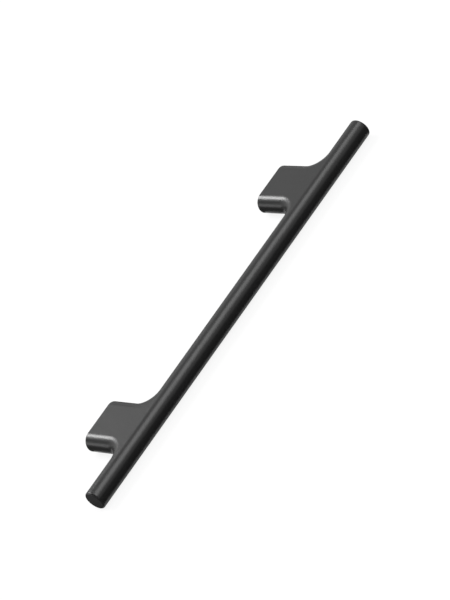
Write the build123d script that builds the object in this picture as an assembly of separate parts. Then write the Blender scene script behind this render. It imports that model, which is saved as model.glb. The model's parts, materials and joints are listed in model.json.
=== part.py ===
from build123d import *
from math import radians, tan
import os

# Cabinet bar handle, cast in one piece: a round grip bar carried on two plate-like feet.
# The feet are exactly as thick as the bar, so their flat faces run tangent into it. Their sides
# are rounded over the full thickness and sweep round, in a quarter turn, into the back of the bar.
#
# Frame: the origin is on the mounting plane, midway between the two screw holes. +X runs along
# the bar, +Y into the furniture front, and +Z is square to the flat faces of the feet.

# Driving dimensions, in millimetres and degrees
SCREW_SPACING = 160.0        # between the centres of the two screw holes
BAR_OVERHANG = 44.6          # from a screw hole's centre to the nearer end of the bar
BAR_DIAMETER = 11.0          # of the grip bar, and so the thickness of the feet
FINGER_CLEARANCE = 24.0      # from the mounting plane to the back of the bar
FOOT_WIDTH = 29.0            # of a foot along the bar, where its sides are straight
SWEEP_RADIUS = 8.0           # inside radius where a foot's side turns into the bar
BAR_END_ROUND = 1.0          # edge radius around the flat ends of the bar
FOOT_RIM_ROUND = 0.3         # edge radius around the mounting face of a foot
THREAD_DIAMETER = 4.0        # outer diameter of the metric screw thread
THREAD_PITCH = 0.7           # of the same thread, which sets the tapping drill
THREAD_DEPTH = 12.0          # of full thread, from the mounting face
THREAD_MOUTH_CHAMFER = 0.4   # countersink at the mouth of the thread
DRILL_RUNOUT = 2.5           # drilled past the end of the full thread
DRILL_POINT_ANGLE = 118.0    # included angle of the drill's point

# The bar: one radius serves its section and the rounded sides of the feet
RADIUS = BAR_DIAMETER / 2
BAR_AXIS_Y = -(FINGER_CLEARANCE + RADIUS)
BAR_END_X = SCREW_SPACING / 2 + BAR_OVERHANG

# A foot's rounded side follows an axis: straight out from the mounting plane, then a quarter turn
SIDE_AXIS_X = FOOT_WIDTH / 2 - RADIUS
TURN_RADIUS = SWEEP_RADIUS + RADIUS
TURN_CENTRE = (SIDE_AXIS_X + TURN_RADIUS, BAR_AXIS_Y + TURN_RADIUS)

HALF_SECTION = make_face(CenterArc((0, 0), RADIUS, -90, 180) + Line((0, RADIUS), (0, -RADIUS)))


def bar_half(side_y, start_x, end_x):
    """A lengthwise half of the bar: its front with side_y -1, its back with side_y +1."""
    section_plane = Plane((start_x, BAR_AXIS_Y, 0), x_dir=(0, side_y, 0), z_dir=(1, 0, 0))
    return extrude(section_plane * HALF_SECTION, amount=end_x - start_x, dir=(1, 0, 0))


def half_foot():
    """The +X half of a foot about its own screw axis: flat core, rounded side and sweep."""
    turn_x, turn_y = TURN_CENTRE
    core_outline = (
        Line((0, 0), (0, BAR_AXIS_Y))
        + Line((0, BAR_AXIS_Y), (turn_x, BAR_AXIS_Y))
        + CenterArc(TURN_CENTRE, TURN_RADIUS, 180, 90)
        + Line((SIDE_AXIS_X, turn_y), (SIDE_AXIS_X, 0))
        + Line((SIDE_AXIS_X, 0), (0, 0))
    )
    core = extrude(make_face(core_outline), amount=RADIUS, both=True)
    side_plane = Plane((SIDE_AXIS_X, turn_y, 0), x_dir=(1, 0, 0), z_dir=(0, 1, 0))
    side_section = side_plane * HALF_SECTION
    straight_side = extrude(side_section, amount=-turn_y, dir=(0, 1, 0))
    turn_axis = Axis((turn_x, turn_y, 0), (0, 0, 1))
    sweep = revolve(side_section, axis=turn_axis, revolution_arc=90)
    return [core, straight_side, sweep]


def screw_hole():
    """Cutter for a blind tapped hole at the origin: mouth, thread, tapping drill and its point."""
    thread_radius = THREAD_DIAMETER / 2
    drill_radius = (THREAD_DIAMETER - THREAD_PITCH) / 2
    mouth_radius = thread_radius + THREAD_MOUTH_CHAMFER
    taper_end_y = -THREAD_DEPTH - (thread_radius - drill_radius)
    drill_end_y = taper_end_y - DRILL_RUNOUT
    point_y = drill_end_y - drill_radius / tan(radians(DRILL_POINT_ANGLE / 2))
    half_profile = Polyline(
        (0, 0),
        (mouth_radius, 0),
        (thread_radius, -THREAD_MOUTH_CHAMFER),
        (thread_radius, -THREAD_DEPTH),
        (drill_radius, taper_end_y),
        (drill_radius, drill_end_y),
        (0, point_y),
        close=True,
    )
    return revolve(make_face(half_profile), axis=Axis.Y)


# The casting: bar and feet meet face to face and are joined into one solid
pieces = [bar_half(-1, -BAR_END_X, BAR_END_X)]
sweep_reach = TURN_CENTRE[0]
inner_end_x = SCREW_SPACING / 2 - sweep_reach
pieces.append(bar_half(1, -inner_end_x, inner_end_x))
outer_start_x = SCREW_SPACING / 2 + sweep_reach
pieces.append(bar_half(1, outer_start_x, BAR_END_X))
pieces.append(bar_half(1, -BAR_END_X, -outer_start_x))
foot_centres = [Pos(-SCREW_SPACING / 2, 0, 0), Pos(SCREW_SPACING / 2, 0, 0)]
for centre in foot_centres:
    for piece in half_foot():
        pieces.append(centre * piece)
        pieces.append(centre * mirror(piece, about=Plane.YZ))
handle = Part() + pieces

# Edges: the bar's end rims and the outlines of the mounting faces are slightly rounded
handle = fillet(handle.faces().filter_by(Axis.X).edges(), BAR_END_ROUND)
handle = fillet(handle.faces().filter_by(Axis.Y).edges(), FOOT_RIM_ROUND)

# Screw holes: one tapped hole in the middle of each mounting face
handle -= [centre * screw_hole() for centre in foot_centres]

os.makedirs("parts", exist_ok=True)
export_step(handle, "parts/bar_handle.step")
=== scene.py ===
import json
from math import cos, pi, radians, sin, tan

import bmesh
import bpy
from mathutils import Matrix, Vector


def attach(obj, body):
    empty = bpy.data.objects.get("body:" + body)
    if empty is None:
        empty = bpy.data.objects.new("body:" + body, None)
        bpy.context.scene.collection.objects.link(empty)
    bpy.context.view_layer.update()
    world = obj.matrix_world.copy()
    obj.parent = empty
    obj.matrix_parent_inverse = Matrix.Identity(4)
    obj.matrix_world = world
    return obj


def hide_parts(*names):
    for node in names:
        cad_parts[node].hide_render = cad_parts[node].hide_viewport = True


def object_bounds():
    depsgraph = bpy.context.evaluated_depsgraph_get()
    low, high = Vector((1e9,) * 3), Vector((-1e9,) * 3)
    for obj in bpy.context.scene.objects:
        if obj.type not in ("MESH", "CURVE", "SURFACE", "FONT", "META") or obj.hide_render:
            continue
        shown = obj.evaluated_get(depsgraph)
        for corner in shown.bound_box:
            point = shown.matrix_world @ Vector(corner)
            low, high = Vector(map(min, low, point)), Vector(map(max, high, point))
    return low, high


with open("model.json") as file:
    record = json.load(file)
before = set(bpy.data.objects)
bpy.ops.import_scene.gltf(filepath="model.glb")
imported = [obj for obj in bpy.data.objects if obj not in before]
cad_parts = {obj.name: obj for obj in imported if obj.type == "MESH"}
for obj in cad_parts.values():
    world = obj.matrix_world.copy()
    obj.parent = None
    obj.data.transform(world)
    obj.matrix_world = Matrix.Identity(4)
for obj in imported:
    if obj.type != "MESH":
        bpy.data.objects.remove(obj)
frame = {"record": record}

CAD_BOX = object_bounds()

# Casting
# The whole handle is one zinc die-casting: a round bar on two flat feet, which are as thick as the
# bar, round over at their sides and sweep into its back. The screw holes are drilled from behind.

MM = 0.001
MERGE = 0.001 * MM
screws = next(mount for mount in frame["record"]["mounts"] if mount["name"] == "screw_pattern")
SCREW_X = screws["dims"]["spacing_x_mm"] * MM / 2
THREAD_RADIUS = screws["dims"]["hole_r_mm"] * MM
BAR_END = CAD_BOX[1][0]
BAR_RADIUS = CAD_BOX[1][2]
FINGER_CLEARANCE = 24 * MM
FOOT_WIDTH = 29 * MM
SWEEP_RADIUS = 8 * MM
BAR_AXIS_Y = -FINGER_CLEARANCE - BAR_RADIUS
TURN_Y = SWEEP_RADIUS - FINGER_CLEARANCE
TURN_REACH = FOOT_WIDTH / 2 + SWEEP_RADIUS
INNER_TURN_X = SCREW_X - TURN_REACH
OUTER_TURN_X = SCREW_X + TURN_REACH
ROUND_STEPS = 64
SWEEP_STEPS = 32
RUN_STEP = 2.5 * MM

casting_shape = bmesh.new()


def half_round(x, side):
    """Half of the bar's section at x, from top to bottom: side is -1 in front, 1 behind."""
    known = set(casting_shape.edges)
    top = bmesh.ops.create_vert(casting_shape, co=(x, BAR_AXIS_Y, BAR_RADIUS))["vert"]
    bmesh.ops.spin(
        casting_shape,
        geom=top,
        cent=(x, BAR_AXIS_Y, 0),
        axis=(1, 0, 0),
        angle=-side * pi,
        steps=ROUND_STEPS,
    )
    edges = [edge for edge in casting_shape.edges if edge not in known]
    return edges + [edges[0].verts[0]] + [edge.verts[1] for edge in edges]


def run(profile, x, y):
    """Carries a section straight on by x and y, in even steps, and returns its far end."""
    way = Vector((x, y, 0))
    steps = round(way.length / RUN_STEP)
    done = bmesh.ops.spin(
        casting_shape, geom=profile, axis=(0, 0, 1), angle=0, dvec=way / steps, steps=steps
    )
    return done["geom_last"]


def turn(profile, x, angle):
    """Turns a section through the sweep whose centre is at x, and returns its far end."""
    done = bmesh.ops.spin(
        casting_shape,
        geom=profile,
        cent=(x, TURN_Y, 0),
        axis=(0, 0, 1),
        angle=angle,
        steps=SWEEP_STEPS,
    )
    return done["geom_last"]


# the back of the bar, from its middle and from its end, turns into the two sides of a foot
inner_side = turn(run(half_round(0, 1), INNER_TURN_X, 0), INNER_TURN_X, pi / 2)
run(inner_side, 0, -TURN_Y)
outer_side = turn(run(half_round(BAR_END, 1), OUTER_TURN_X - BAR_END, 0), OUTER_TURN_X, -pi / 2)
run(outer_side, 0, -TURN_Y)
front = run(half_round(0, -1), INNER_TURN_X, 0)
front = run(front, OUTER_TURN_X - INNER_TURN_X, 0)
run(front, BAR_END - OUTER_TURN_X, 0)
bmesh.ops.remove_doubles(casting_shape, verts=casting_shape.verts, dist=MERGE)
bmesh.ops.mirror(
    casting_shape,
    geom=casting_shape.verts[:] + casting_shape.edges[:] + casting_shape.faces[:],
    matrix=Matrix.Identity(4),
    merge_dist=MERGE,
    axis="X",
)

X, Y, Z = range(3)


def edges_on(axis, place):
    """Edges that lie in a plane square to an axis, on either side of the middle."""
    return [
        edge
        for edge in casting_shape.edges
        if all(abs(abs(vert.co[axis]) - place) < MERGE for vert in edge.verts)
    ]


def open_edges(edges):
    """Those of the edges that still lack a face on one side."""
    return [edge for edge in edges if len(edge.link_faces) < 2]


# flat faces close the feet above and below, then the mounting faces and the bar's ends
corners = [
    vert
    for vert in casting_shape.verts
    if abs(vert.co.y) < MERGE and abs(abs(vert.co.z) - BAR_RADIUS) < MERGE
]
for foot in (-1, 1):
    for face in (-1, 1):
        ends = [vert for vert in corners if vert.co.x * foot > 0 and vert.co.z * face > 0]
        casting_shape.edges.new(ends)
bmesh.ops.edgeloop_fill(casting_shape, edges=open_edges(edges_on(Z, BAR_RADIUS)))
bmesh.ops.edgeloop_fill(casting_shape, edges=open_edges(casting_shape.edges))
bmesh.ops.recalc_face_normals(casting_shape, faces=casting_shape.faces)

# the rims of the bar's ends and of the mounting faces are rounded
BAR_END_ROUND = 1.0 * MM
BAR_END_STEPS = 12
FOOT_RIM_ROUND = 0.3 * MM
FOOT_RIM_STEPS = 6
rims = (
    (edges_on(X, BAR_END), BAR_END_ROUND, BAR_END_STEPS),
    (edges_on(Y, 0), FOOT_RIM_ROUND, FOOT_RIM_STEPS),
)
for rim, radius, steps in rims:
    bmesh.ops.bevel(
        casting_shape,
        geom=rim,
        offset=radius,
        affect="EDGES",
        segments=steps,
        profile=0.5,
        material=-1,
    )

# each screw hole: countersunk mouth, wall at the thread's outer radius, drill and its point
THREAD_PITCH = 0.7 * MM
THREAD_DEPTH = 12 * MM
MOUTH_CHAMFER = 0.4 * MM
MOUTH_RADIUS = THREAD_RADIUS + MOUTH_CHAMFER
DRILL_RADIUS = THREAD_RADIUS - THREAD_PITCH / 2
DRILL_RUNOUT = 2.5 * MM
DRILL_POINT_ANGLE = radians(118)
HOLE_STEPS = 130
taper_end_y = -THREAD_DEPTH - (THREAD_RADIUS - DRILL_RADIUS)
drill_end_y = taper_end_y - DRILL_RUNOUT
point_y = drill_end_y - DRILL_RADIUS / tan(DRILL_POINT_ANGLE / 2)
hole_profile = (
    (MOUTH_RADIUS, 0),
    (THREAD_RADIUS, -MOUTH_CHAMFER),
    (THREAD_RADIUS, -THREAD_DEPTH),
    (DRILL_RADIUS, taper_end_y),
    (DRILL_RADIUS, drill_end_y),
    (0, point_y),
)
mount_faces = [
    face for face in casting_shape.faces if all(abs(vert.co.y) < MERGE for vert in face.verts)
]
bmesh.ops.delete(casting_shape, geom=mount_faces, context="FACES_ONLY")
for foot in (-1, 1):
    points = [
        casting_shape.verts.new((foot * SCREW_X + radius, y, 0)) for radius, y in hole_profile
    ]
    lines = [casting_shape.edges.new(pair) for pair in zip(points, points[1:])]
    bmesh.ops.spin(
        casting_shape,
        geom=points + lines,
        cent=(foot * SCREW_X, 0, 0),
        axis=(0, 1, 0),
        angle=2 * pi,
        steps=HOLE_STEPS,
        use_merge=True,
    )
    mouth_and_rim = [
        edge for edge in open_edges(edges_on(Y, 0)) if edge.verts[0].co.x * foot > 0
    ]
    bmesh.ops.triangle_fill(
        casting_shape, edges=mouth_and_rim, use_beauty=True, normal=(0, 1, 0)
    )
bmesh.ops.remove_doubles(casting_shape, verts=casting_shape.verts, dist=MERGE)
bmesh.ops.recalc_face_normals(casting_shape, faces=casting_shape.faces)

SHARP_ANGLE = radians(30)


def rank(point):
    """A number of its own for each point: a spin leaves no fixed order, so pieces get this one."""
    return point.x + 2**0.5 * point.y + 3**0.5 * point.z


def finish_piece(shape, name):
    """Makes a piece of a bmesh: smooth but for its sharp edges, on the handle's one body."""
    shape.verts.sort(key=lambda vert: rank(vert.co))
    shape.edges.sort(key=lambda edge: rank(edge.verts[0].co + edge.verts[1].co))
    shape.faces.sort(key=lambda face: rank(face.calc_center_median()))
    for face in shape.faces:
        face.smooth = True
    for edge in shape.edges:
        edge.smooth = edge.calc_face_angle(0) < SHARP_ANGLE
    mesh = bpy.data.meshes.new(name)
    shape.to_mesh(mesh)
    shape.free()
    piece = bpy.data.objects.new(name, mesh)
    bpy.context.scene.collection.objects.link(piece)
    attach(piece, "root")
    return piece


casting = finish_piece(casting_shape, "handle_casting")
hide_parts("bar_handle")
flat_faces = casting.modifiers.new("flat_faces", "WEIGHTED_NORMAL")
flat_faces.keep_sharp = True


class Wire:
    """A shader socket: Python's arithmetic on it adds Math nodes to the same material."""

    def __init__(self, socket):
        self.socket = socket

    def node(self, kind, settings, sockets, output=0):
        """Adds a node of any kind: its settings first, then its sockets' values or wires."""
        added = self.socket.id_data.nodes.new(kind)
        for name, value in settings.items():
            setattr(added, name, value)
        plug(added, sockets)
        return Wire(added.outputs[output])

    def math(self, operation, first, second=0):
        """Adds a Math node for one or two values or wires."""
        return self.node("ShaderNodeMath", {"operation": operation}, {0: first, 1: second})

    def __add__(self, other):
        return self.math("ADD", self, other)

    def __sub__(self, other):
        return self.math("SUBTRACT", self, other)

    def __rsub__(self, other):
        return self.math("SUBTRACT", other, self)

    def __mul__(self, other):
        return self.math("MULTIPLY", self, other)

    def __lt__(self, other):
        return self.math("LESS_THAN", self, other)

    def __gt__(self, other):
        return self.math("GREATER_THAN", self, other)

    def __abs__(self):
        return self.math("ABSOLUTE", self)

    __radd__ = __add__
    __rmul__ = __mul__


def plug(node, sockets):
    """Sets a node's sockets to values, or links them to wires."""
    for name, value in sockets.items():
        if isinstance(value, Wire):
            node.id_data.links.new(value.socket, node.inputs[name])
        else:
            node.inputs[name].default_value = value


def new_finish(name):
    """A new material, its shader and the Object coordinates that its patterns follow."""
    material = bpy.data.materials.new(name)
    material.use_nodes = True
    nodes = material.node_tree.nodes
    place = Wire(nodes.new("ShaderNodeTexCoord").outputs["Object"])
    return material, nodes["Principled BSDF"], place


NOISE_MIDDLE = 0.5
# a Mix node's colour sockets go by number, because their names repeat
MIX_SHARE, MIX_FIRST, MIX_SECOND, MIX_RESULT = 0, 6, 7, 2


def noise(place, size, detail):
    """Cloudy noise whose grains are about as big as size, between 0 and 1."""
    sockets = {"Vector": place, "Scale": 1 / size, "Detail": detail}
    return place.node("ShaderNodeTexNoise", {}, sockets)


def blend(share, first, second):
    """The first colour, or the second one where share is 1."""
    sockets = {MIX_SHARE: share, MIX_FIRST: first, MIX_SECOND: second}
    return share.node("ShaderNodeMix", {"data_type": "RGBA"}, sockets, output=MIX_RESULT)


# powder melts into a skin with a faint orange peel and a fine grain; tapped holes are left bare
COAT_DARK = (0.0078, 0.0078, 0.0078, 1)
COAT_PALE = (0.0102, 0.0102, 0.0102, 1)
COAT_ROUGHNESS = 0.31
COAT_ROUGHNESS_RANGE = 0.05
COAT_CLOUD_SIZE = 14 * MM
PEEL_SIZE = 1.7 * MM
PEEL_HEIGHT = 0.016 * MM
GRAIN_SIZE = 0.22 * MM
GRAIN_HEIGHT = 0.012 * MM
ZINC_GREY = (0.55, 0.56, 0.58, 1)
ZINC_ROUGHNESS = 0.36
BARE_END_Y = 1.1 * point_y

coat, coat_shader, place = new_finish("black_powder_coat")
axes = place.node("ShaderNodeSeparateXYZ", {}, {"Vector": place}).socket.node.outputs
x, y, z = (Wire(axis) for axis in axes)
from_screw = abs(x) - SCREW_X
in_hole = (from_screw * from_screw + z * z < MOUTH_RADIUS**2) * (y > BARE_END_Y)
peel = noise(place, PEEL_SIZE, detail=1)
coat_roughness = COAT_ROUGHNESS + (peel - NOISE_MIDDLE) * COAT_ROUGHNESS_RANGE
coat_colour = blend(noise(place, COAT_CLOUD_SIZE, detail=2), COAT_DARK, COAT_PALE)
skin = peel * PEEL_HEIGHT + noise(place, GRAIN_SIZE, detail=2) * GRAIN_HEIGHT
plug(coat_shader, {
    "Base Color": blend(in_hole, coat_colour, ZINC_GREY),
    "Metallic": in_hole,
    "Roughness": coat_roughness + in_hole * (ZINC_ROUGHNESS - COAT_ROUGHNESS),
    "Normal": place.node("ShaderNodeBump", {}, {"Height": skin, "Distance": 1.0}),
})
casting.data.materials.append(coat)

# Screw threads
# Each foot takes an M4 machine screw from behind. The thread is tapped after coating, so its ridge
# is bare zinc: a right-hand helix that stands in from the hole's wall, with its root sunk in it.

RIDGE_WIDTH = 0.6 * MM
RIDGE_CREST = THREAD_PITCH / 4
ROOT_SINK = 0.02 * MM
ROOT_RADIUS = THREAD_RADIUS + ROOT_SINK
TURN_STEPS = 48
ZINC_SHADED = (0.47, 0.48, 0.50, 1)
TOOL_MARK_SIZE = 0.6 * MM
TOOL_MARK_STRETCH = (1, 8, 1)
TOOL_MARK_RANGE = 0.16

thread_top_y = -MOUTH_CHAMFER - RIDGE_WIDTH / 2
thread_bottom_y = RIDGE_WIDTH / 2 - THREAD_DEPTH
turns = (thread_top_y - thread_bottom_y) / THREAD_PITCH
thread_steps = round(turns * TURN_STEPS)
ridge_profile = (
    (ROOT_RADIUS, RIDGE_WIDTH / 2),
    (DRILL_RADIUS, RIDGE_CREST / 2),
    (DRILL_RADIUS, -RIDGE_CREST / 2),
    (ROOT_RADIUS, -RIDGE_WIDTH / 2),
)

zinc, zinc_shader, place = new_finish("tapped_zinc")
stretched = place.node("ShaderNodeMapping", {}, {"Vector": place, "Scale": TOOL_MARK_STRETCH})
tool_marks = noise(stretched, TOOL_MARK_SIZE, detail=2)
plug(zinc_shader, {
    "Base Color": blend(tool_marks, ZINC_GREY, ZINC_SHADED),
    "Metallic": 1.0,
    "Roughness": ZINC_ROUGHNESS + (tool_marks - NOISE_MIDDLE) * TOOL_MARK_RANGE,
})

for foot, name in ((-1, "left_screw_thread"), (1, "right_screw_thread")):
    thread_shape = bmesh.new()
    points = [
        thread_shape.verts.new((foot * SCREW_X + radius, thread_top_y + y, 0))
        for radius, y in ridge_profile
    ]
    lines = [thread_shape.edges.new(pair) for pair in zip(points, points[1:] + points[:1])]
    bmesh.ops.spin(
        thread_shape,
        geom=points + lines,
        cent=(foot * SCREW_X, 0, 0),
        axis=(0, 1, 0),
        angle=-2 * pi * turns,
        dvec=(0, (thread_bottom_y - thread_top_y) / thread_steps, 0),
        steps=thread_steps,
    )
    bmesh.ops.edgeloop_fill(thread_shape, edges=open_edges(thread_shape.edges))
    bmesh.ops.recalc_face_normals(thread_shape, faces=thread_shape.faces)
    thread = finish_piece(thread_shape, name)
    thread.data.materials.append(zinc)

# Floor
# The handle lies on its side on a plain white floor. The floor shows white to the camera and in
# reflections, and a share of it is lit by the lamps, so that it keeps the handle's shadow.

FLOOR_Z = CAD_BOX[0][2]
FLOOR_HALF = 6.0
FLOOR_WHITE = (0.92, 0.92, 0.92, 1)
WHITE = (1, 1, 1, 1)
SEEN_GLOW = 0.88
REFLECTED_GLOW = 0.15


def matt_finish(name, colour):
    """A new material without gloss, its shader's wire and its Object coordinates."""
    material, shader, place = new_finish(name)
    plug(shader, {"Base Color": colour, "Roughness": 1.0, "Specular IOR Level": 0.0})
    return material, Wire(shader.outputs[0]), place


def show_either(material, share, first, second):
    """Lets a material show its first shader, or the second one where share is 1."""
    either = share.node("ShaderNodeMixShader", {}, {0: share, 1: first, 2: second})
    plug(material.node_tree.nodes["Material Output"], {"Surface": either})


def stage_sheet(name, material, half_width, half_depth, where):
    """A flat sheet that isn't part of the handle, put where a matrix says."""
    shape = bmesh.new()
    bmesh.ops.create_grid(shape, x_segments=1, y_segments=1, size=1)
    bmesh.ops.scale(shape, verts=shape.verts, vec=(half_width, half_depth, 1))
    bmesh.ops.transform(shape, verts=shape.verts, matrix=where)
    mesh = bpy.data.meshes.new(name)
    shape.to_mesh(mesh)
    shape.free()
    mesh.materials.append(material)
    sheet = bpy.data.objects.new(name, mesh)
    bpy.context.scene.collection.objects.link(sheet)
    return sheet


white, matt_white, place = matt_finish("white_floor", FLOOR_WHITE)
rays = place.node("ShaderNodeLightPath", {}, {}).socket.node.outputs
camera_ray, glossy_ray, transmission_ray = (
    Wire(rays[f"Is {kind} Ray"]) for kind in ("Camera", "Glossy", "Transmission")
)
reflected = glossy_ray.math("MAXIMUM", glossy_ray, transmission_ray)
glow = place.node("ShaderNodeEmission", {}, {"Color": WHITE, "Strength": 1.0})
show_either(white, camera_ray * SEEN_GLOW + reflected * REFLECTED_GLOW, matt_white, glow)
stage_sheet("floor", white, FLOOR_HALF, FLOOR_HALF, Matrix.Translation((0, 0, FLOOR_Z)))

# Light
# A plain pale room with softboxes behind, above and beside the handle. Dark cards on the floor, in
# front and at the left, hidden from the camera, keep the coat black where it mirrors them.

WORLD_LEVEL = 0.66
LAMP_DISTANCE = 8.0
AIM = Vector((0, CAD_BOX[0][1] / 2, 0))

world = bpy.data.worlds.new("pale_room")
bpy.context.scene.world = world
world.use_nodes = True
plug(world.node_tree.nodes["Background"], {"Color": WHITE, "Strength": WORLD_LEVEL})


def stand(aim, azimuth, elevation, distance, roll):
    """Where a lamp, card or camera stands: azimuth 0 is in front, and grows to the right."""
    back = Vector((
        sin(azimuth) * cos(elevation),
        -cos(azimuth) * cos(elevation),
        sin(elevation),
    ))
    level = back.to_track_quat("Z", "Y").to_matrix().to_4x4()
    return Matrix.Translation(aim + back * distance) @ level @ Matrix.Rotation(roll, 4, "Z")


def softbox(name, azimuth, elevation, roll, half_width, half_height, brightness):
    """A rectangular lamp, all in degrees as seen from the handle; a brightness of 1 is white."""
    lamp = bpy.data.lights.new(name, "AREA")
    lamp.shape = "RECTANGLE"
    lamp.size = 2 * LAMP_DISTANCE * tan(radians(half_width))
    lamp.size_y = 2 * LAMP_DISTANCE * tan(radians(half_height))
    lamp.energy = brightness * pi * lamp.size * lamp.size_y
    box = bpy.data.objects.new(name, lamp)
    box.matrix_world = stand(
        AIM, radians(azimuth), radians(elevation), LAMP_DISTANCE, radians(roll)
    )
    box.visible_camera = False
    bpy.context.scene.collection.objects.link(box)


softbox(
    "back_softbox", azimuth=180.4, elevation=48.7, roll=-45,
    half_width=8, half_height=16.7, brightness=15,
)
softbox(
    "top_softbox", azimuth=48, elevation=59.8, roll=11,
    half_width=25, half_height=10.5, brightness=3.4,
)
softbox(
    "side_softbox", azimuth=-132, elevation=9, roll=0,
    half_width=14, half_height=9.5, brightness=1.55,
)


def card_finish(name, grey):
    """Matt card that shows on its front alone: from behind it is clear."""
    card, matt_grey, place = matt_finish(name, grey)
    behind = place.node("ShaderNodeNewGeometry", {}, {}, output="Backfacing")
    clear = place.node("ShaderNodeBsdfTransparent", {}, {})
    show_either(card, behind, matt_grey, clear)
    return card


# a low card stands in front, and a large one leans over the handle's left end
CARD_GREY = (0.09, 0.09, 0.09, 1)
CARD_HALF = 1.0
FRONT_CARD_Y = -0.4
FRONT_CARD_HEIGHT = 0.10
LEFT_CARD_AZIMUTH = radians(-90)
LEFT_CARD_ELEVATION = radians(50)
LEFT_CARD_DISTANCE = 1.2
LEFT_CARD_HALF_WIDTH = 1.2
LEFT_CARD_HALF_HEIGHT = 0.7
dark = card_finish("dark_card", CARD_GREY)
front_middle = Matrix.Translation((0, FRONT_CARD_Y, FLOOR_Z + FRONT_CARD_HEIGHT / 2))
upright = front_middle @ Matrix.Rotation(-pi / 2, 4, "X")
front_card = stage_sheet("front_card", dark, CARD_HALF, FRONT_CARD_HEIGHT / 2, upright)
left_middle = stand(AIM, LEFT_CARD_AZIMUTH, LEFT_CARD_ELEVATION, LEFT_CARD_DISTANCE, 0)
leaning = left_middle @ Matrix.Rotation(pi, 4, "X")
left_card = stage_sheet(
    "left_card", dark, LEFT_CARD_HALF_WIDTH, LEFT_CARD_HALF_HEIGHT, leaning
)

# a paler card beyond the bar's left end keeps the flat face there from turning black
END_CARD_GREY = (0.132, 0.132, 0.132, 1)
END_CARD_HALF = 40 * MM
CARD_LIFT = 0.1 * MM
pale = card_finish("pale_card", END_CARD_GREY)
beyond = Matrix.Translation((-BAR_END - END_CARD_HALF, BAR_AXIS_Y, FLOOR_Z + 2 * CARD_LIFT))
end_card = stage_sheet("end_card", pale, END_CARD_HALF, END_CARD_HALF, beyond)

# the floor card has an opening round the handle, a little larger, which shows the white floor
CARD_BACK_Y = 0.5
CARD_MARGIN = 1.2 * MM
lying = Matrix.Translation((0, (CARD_BACK_Y + FRONT_CARD_Y) / 2, FLOOR_Z + CARD_LIFT))
floor_card = stage_sheet("floor_card", dark, CARD_HALF, (CARD_BACK_Y - FRONT_CARD_Y) / 2, lying)
front_y = CAD_BOX[0][1] - CARD_MARGIN
back_y = 2 * BAR_AXIS_Y - front_y
foot_inside = SCREW_X - FOOT_WIDTH / 2 - CARD_MARGIN
foot_outside = SCREW_X + FOOT_WIDTH / 2 + CARD_MARGIN
half_opening = (
    (BAR_END, front_y),
    (BAR_END, back_y),
    (foot_outside, back_y),
    (foot_outside, CARD_MARGIN),
    (foot_inside, CARD_MARGIN),
    (foot_inside, back_y),
)
opening = half_opening + tuple((-x, y) for x, y in reversed(half_opening))
card_shape = bmesh.new()
card_shape.from_mesh(floor_card.data)
bmesh.ops.delete(card_shape, geom=card_shape.faces[:], context="FACES_ONLY")
points = [card_shape.verts.new((x, y, FLOOR_Z + CARD_LIFT)) for x, y in opening]
for pair in zip(points, points[1:] + points[:1]):
    card_shape.edges.new(pair)
bmesh.ops.triangle_fill(
    card_shape, edges=card_shape.edges[:], use_beauty=True, normal=(0, 0, 1)
)
card_shape.to_mesh(floor_card.data)
card_shape.free()

# no card is seen or casts a shadow, and the large one doesn't dim the soft light either
for card in (front_card, left_card, end_card, floor_card):
    card.visible_camera = False
    card.visible_transmission = False
    card.visible_shadow = False
left_card.visible_diffuse = False

# Camera
# It stands where the photograph was taken from: in front and to the left, above, and rolled, with
# a long lens. Its place was found from the outline of the bar and the feet.

VIEW_AZIMUTH = radians(-31.300)
VIEW_ELEVATION = radians(31.825)
VIEW_ROLL = radians(-36.713)
VIEW_DISTANCE = 1.70516
VIEW_CENTRE = Vector((0.001246, -0.026988, 0.004501))
LENS_MM = 209.938
SENSOR_MM = 36.0

lens = bpy.data.cameras.new("camera")
lens.lens = LENS_MM
lens.sensor_width = SENSOR_MM
camera = bpy.data.objects.new("camera", lens)
camera.matrix_world = stand(VIEW_CENTRE, VIEW_AZIMUTH, VIEW_ELEVATION, VIEW_DISTANCE, VIEW_ROLL)
bpy.context.scene.collection.objects.link(camera)
bpy.context.scene.camera = camera
bpy.context.scene.view_settings.view_transform = "Standard"
